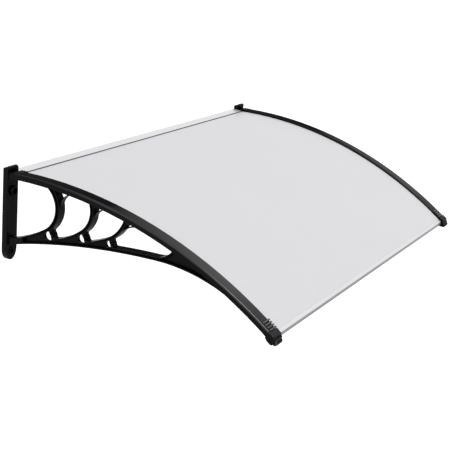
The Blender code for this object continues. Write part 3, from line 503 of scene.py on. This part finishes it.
def epdm_foam(look):
    # Closed-cell EPDM foam, cut from a block, so that the cells at its faces are open. They
    # are about 1 mm across.
    finish, tree, shader = new_finish("cut EPDM foam", {"Roughness": 0.95})
    place = add_node(tree, "ShaderNodeTexCoord").outputs["Object"]
    cells = add_node(tree, "ShaderNodeTexVoronoi", {"Vector": place, "Scale": 1 / (1.2 * MM)})
    shades = {"Factor": cells, MIX_A: tint(look.rubber, 1.4), MIX_B: tint(look.rubber, 0.6)}
    colour = add_node(tree, "ShaderNodeMix", shades, data_type="RGBA")
    bump = {"Strength": 0.6, "Distance": 0.3 * MM, "Height": cells}
    surface = {
        "Base Color": colour.outputs[MIX_RESULT],
        "Normal": add_node(tree, "ShaderNodeBump", bump),
    }
    set_inputs(tree, shader, surface)
    return finish


class CANOPY_OT_seals(bpy.types.Operator):
    """Rubber on the rear gasket and foam on the wall seal"""

    bl_idname = "canopy.seals"
    bl_label = "Seals"

    def execute(self, context):
        look = context.scene.canopy_finishes
        dress("rear_gasket", epdm_rubber(look))
        dress("wall_seal", epdm_foam(look))
        return {"FINISHED"}


def zinc_plated_steel(look):
    # Zinc plated and passivated steel: bright, slightly blue, with a faint cloudy tint.
    finish, tree, shader = new_finish("zinc plated steel", {"Metallic": 1.0, "Roughness": 0.3})
    place = add_node(tree, "ShaderNodeTexCoord").outputs["Object"]
    cloud = add_node(tree, "ShaderNodeTexNoise", {"Vector": place, "Scale": 1 / (2.5 * MM), "Detail": 3.0})
    shades = {"Factor": cloud, MIX_A: tint(look.zinc, 0.85), MIX_B: tint(look.zinc, 1.1)}
    colour = add_node(tree, "ShaderNodeMix", shades, data_type="RGBA")
    set_inputs(tree, shader, {"Base Color": colour.outputs[MIX_RESULT]})
    return finish


def screw_rings(length):
    """Rings of (height, radius, lead) from the head's top to the tip, where lead is the share
    of its full height that the thread has there."""
    rings = [(-share * HEAD_HEIGHT, width * HEAD_RADIUS, 0.0) for share, width in HEAD_OUTLINE]
    rings.append((0.0, NECK_RADIUS, 0.0))
    taper = length - 2 * SCREW_CREST
    count = round(THREAD_RINGS * length / SCREW_PITCH)
    for i in range(1, count + 1):
        z = length * i / count
        share = 1.0 if z < taper else (length - z) / (length - taper)
        rings.append((z, max(SCREW_CORE * share, SCREW_TIP), share))
    return rings


def screw_mesh(name, length):
    """A pan-head self-tapping screw with a rolled thread, as one closed surface."""
    bm = bmesh.new()
    loops = []
    for z, core, lead in screw_rings(length):
        loop = []
        for i in range(ROUND_STEPS):
            turn = 2 * math.pi * i / ROUND_STEPS
            phase = (z / SCREW_PITCH - i / ROUND_STEPS) % 1.0
            flank = max(0.0, 1 - abs(phase - 0.5) / THREAD_SLOPE)
            radius = core + flank * (SCREW_CREST - SCREW_CORE) * lead
            loop.append(bm.verts.new((radius * math.cos(turn), radius * math.sin(turn), z)))
        loops.append(loop)
    bm.faces.new(loops[0][::-1])
    bm.faces.new(loops[-1])
    for low, high in zip(loops, loops[1:]):
        for i in range(ROUND_STEPS):
            j = (i + 1) % ROUND_STEPS
            bm.faces.new((low[i], low[j], high[j], high[i]))
    bmesh.ops.recalc_face_normals(bm, faces=bm.faces)
    mesh = bpy.data.meshes.new(name)
    bm.to_mesh(mesh)
    bm.free()
    return mesh


def recess_cutters():
    """The two crossed bars that cut the cross recess, narrower towards its bottom."""
    cutters = []
    for turn in (0, math.pi / 2):
        bm = bmesh.new()
        bmesh.ops.create_cube(bm, size=1)
        for vert in bm.verts:
            deep = vert.co.z > 0
            span = RECESS_SPAN * (RECESS_SPAN_SHARE if deep else RECESS_TOP_SHARE)
            arm = RECESS_ARM * (RECESS_ARM_SHARE if deep else RECESS_TOP_SHARE)
            depth = RECESS_DEPTH if deep else -RECESS_RISE
            vert.co = Vector((vert.co.x * span, vert.co.y * arm, depth - HEAD_HEIGHT))
        bmesh.ops.rotate(bm, verts=bm.verts, matrix=Matrix.Rotation(turn, 3, "Z"))
        bmesh.ops.recalc_face_normals(bm, faces=bm.faces)
        mesh = bpy.data.meshes.new("recess cutter")
        bm.to_mesh(mesh)
        bm.free()
        cutter = bpy.data.objects.new("recess cutter", mesh)
        bpy.context.scene.collection.objects.link(cutter)
        cutters.append(cutter)
    return cutters


def screw_place(node):
    """Where a CAD screw stands: a matrix from the seat of its head, and its length."""
    up = Vector((0, 0, 1))
    if not node.startswith("rear_profile"):
        low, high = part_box(node)
        up = (low + high) / 2 - BOW_MIDDLE
        up.x = 0
        up.normalize()
    points = sorted((vert.co for vert in frame["nodes"][node].data.vertices), key=up.dot)
    head, tip = points[0], points[-1]
    length = tip.dot(up) - head.dot(up) - HEAD_HEIGHT
    turn = up.to_track_quat("Z", "Y").to_matrix().to_4x4()
    return Matrix.Translation(tip - up * length) @ turn, length


def detailed_screw(node, cutters):
    """A screw with its cross recess cut, standing where the CAD screw is."""
    where, length = screw_place(node)
    piece = bpy.data.objects.new(f"{node}_detail", screw_mesh(node, length))
    bpy.context.scene.collection.objects.link(piece)
    for cutter in cutters:
        cut = piece.modifiers.new("cross recess", "BOOLEAN")
        cut.operation = "DIFFERENCE"
        cut.solver = "EXACT"
        cut.object = cutter
    graph = bpy.context.evaluated_depsgraph_get()
    piece.data = bpy.data.meshes.new_from_object(piece.evaluated_get(graph))
    piece.modifiers.clear()
    piece.data.transform(where)
    return piece


class CANOPY_OT_screws(bpy.types.Operator):
    """Zinc plated self-tapping screws with thread and cross recess, in place of the plain ones"""

    bl_idname = "canopy.screws"
    bl_label = "Screws"

    def execute(self, context):
        finish = zinc_plated_steel(context.scene.canopy_finishes)
        nodes = sorted(name for name in frame["nodes"] if "_screw_" in name)
        if not nodes:
            raise RuntimeError("the packed model has no screws")
        cutters = recess_cutters()
        for node in nodes:
            piece = detailed_screw(node, cutters)
            piece.data.materials.clear()
            piece.data.materials.append(finish)
            piece.data.shade_smooth()
            piece.data.set_sharp_from_angle(angle=SHARP_SCREW_EDGE)
            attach(piece, "root")
            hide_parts(node)
        for cutter in cutters:
            bpy.data.objects.remove(cutter)
        return {"FINISHED"}


def seen_as_background(tree):
    """1 for camera, glossy and transmission rays, and 0 for the others."""
    rays = add_node(tree, "ShaderNodeLightPath").outputs
    seen = (rays["Is Camera Ray"], rays["Is Glossy Ray"])
    seen = add_node(tree, "ShaderNodeMath", seen, operation="MAXIMUM")
    return add_node(tree, "ShaderNodeMath", (seen, rays["Is Transmission Ray"]), operation="MAXIMUM")


def studio_paint(setting):
    # Matt painted studio floor with a faint roller texture. To the camera and in reflections
    # it is lifted towards white, and it keeps the canopy's shadow.
    plain = {"Base Color": tint(setting.floor), "Roughness": 0.9, "Emission Color": (1, 1, 1, 1)}
    finish, tree, shader = new_finish("matt studio paint", plain)
    place = add_node(tree, "ShaderNodeTexCoord").outputs["Object"]
    roller = add_node(tree, "ShaderNodeTexNoise", {"Vector": place, "Scale": 1 / (6 * MM), "Detail": 2.0})
    bump = {"Strength": 0.05, "Distance": 0.1 * MM, "Height": roller}
    lift = (seen_as_background(tree), FLOOR_LIFT)
    surface = {
        "Normal": add_node(tree, "ShaderNodeBump", bump),
        "Emission Strength": add_node(tree, "ShaderNodeMath", lift, operation="MULTIPLY"),
    }
    set_inputs(tree, shader, surface)
    # Seen from below, the floor is left out.
    below = add_node(tree, "ShaderNodeNewGeometry").outputs["Backfacing"]
    clear = add_node(tree, "ShaderNodeBsdfTransparent")
    one_sided = add_node(tree, "ShaderNodeMixShader", (below, shader, clear))
    set_inputs(tree, tree.nodes["Material Output"], {"Surface": one_sided})
    return finish


class CANOPY_OT_stage(bpy.types.Operator):
    """Pale floor, white background, soft lamps and the camera"""

    bl_idname = "canopy.stage"
    bl_label = "Studio"

    def execute(self, context):
        scene, setting = context.scene, context.scene.canopy_stage
        scene.view_settings.view_transform = "Standard"
        self.add_floor(scene, setting)
        self.add_light(scene, setting)
        camera = bpy.data.objects.new("camera", bpy.data.cameras.new("camera"))
        camera.data.lens = setting.lens
        camera.data.shift_x, camera.data.shift_y = LENS_SHIFT
        turn = Euler([math.radians(angle) for angle in CAMERA_TURN])
        camera.matrix_world = Matrix.LocRotScale(Vector(CAMERA_PLACE), turn, None)
        scene.collection.objects.link(camera)
        scene.camera = camera
        return {"FINISHED"}

    def add_floor(self, scene, setting):
        bm = bmesh.new()
        bmesh.ops.create_grid(bm, x_segments=8, y_segments=8, size=FLOOR_HALF_WIDTH)
        bmesh.ops.translate(bm, verts=bm.verts, vec=(0, 0, -setting.floor_drop))
        mesh = bpy.data.meshes.new("studio floor")
        bm.to_mesh(mesh)
        bm.free()
        mesh.materials.append(studio_paint(setting))
        floor = bpy.data.objects.new("studio_floor", mesh)
        scene.collection.objects.link(floor)

    def add_light(self, scene, setting):
        """A white world that lights softly and shows as white, and one soft lamp overhead."""
        world = bpy.data.worlds.new("white studio")
        world.use_nodes = True
        tree = world.node_tree
        spans = (seen_as_background(tree), 0.0, 1.0, setting.ambient, 1.0)
        strength = add_node(tree, "ShaderNodeMapRange", spans)
        set_inputs(tree, tree.nodes["Background"], {"Color": (1, 1, 1, 1), "Strength": strength})
        scene.world = world
        lamp = bpy.data.lights.new("soft key", "SUN")
        lamp.energy = setting.key
        lamp.angle = KEY_SPREAD
        key = bpy.data.objects.new("soft key", lamp)
        key.rotation_euler = Vector(KEY_TOWARDS).to_track_quat("Z", "Y").to_euler()
        scene.collection.objects.link(key)


STEPS = (
    CANOPY_OT_mouldings,
    CANOPY_OT_sheet,
    CANOPY_OT_profiles,
    CANOPY_OT_seals,
    CANOPY_OT_screws,
    CANOPY_OT_stage,
)


class CANOPY_PT_panel(bpy.types.Panel):
    bl_idname = "CANOPY_PT_panel"
    bl_label = "Door canopy"
    bl_space_type = "VIEW_3D"
    bl_region_type = "UI"
    bl_category = "Canopy"

    def draw(self, context):
        for group in (context.scene.canopy_finishes, context.scene.canopy_stage):
            column = self.layout.column()
            for name in group.__annotations__:
                column.prop(group, name)
        for step in STEPS:
            self.layout.operator(step.bl_idname)


CLASSES = (CanopyFinishes, CanopyStage, *STEPS, CANOPY_PT_panel)


def register():
    for made in CLASSES:
        bpy.utils.register_class(made)
    bpy.types.Scene.canopy_finishes = PointerProperty(type=CanopyFinishes)
    bpy.types.Scene.canopy_stage = PointerProperty(type=CanopyStage)


def unregister():
    del bpy.types.Scene.canopy_stage
    del bpy.types.Scene.canopy_finishes
    for made in reversed(CLASSES):
        bpy.utils.unregister_class(made)


def clear_startup():
    """Removes the default cube, lamp and camera."""
    kept = set(frame["nodes"].values()) | set(frame["bodies"].values())
    for obj in list(bpy.data.objects):
        if obj not in kept:
            bpy.data.objects.remove(obj)


def main():
    register()
    clear_startup()
    for step in STEPS:
        group, name = step.bl_idname.split(".")
        getattr(getattr(bpy.ops, group), name)()


if __name__ == "__main__":
    main()
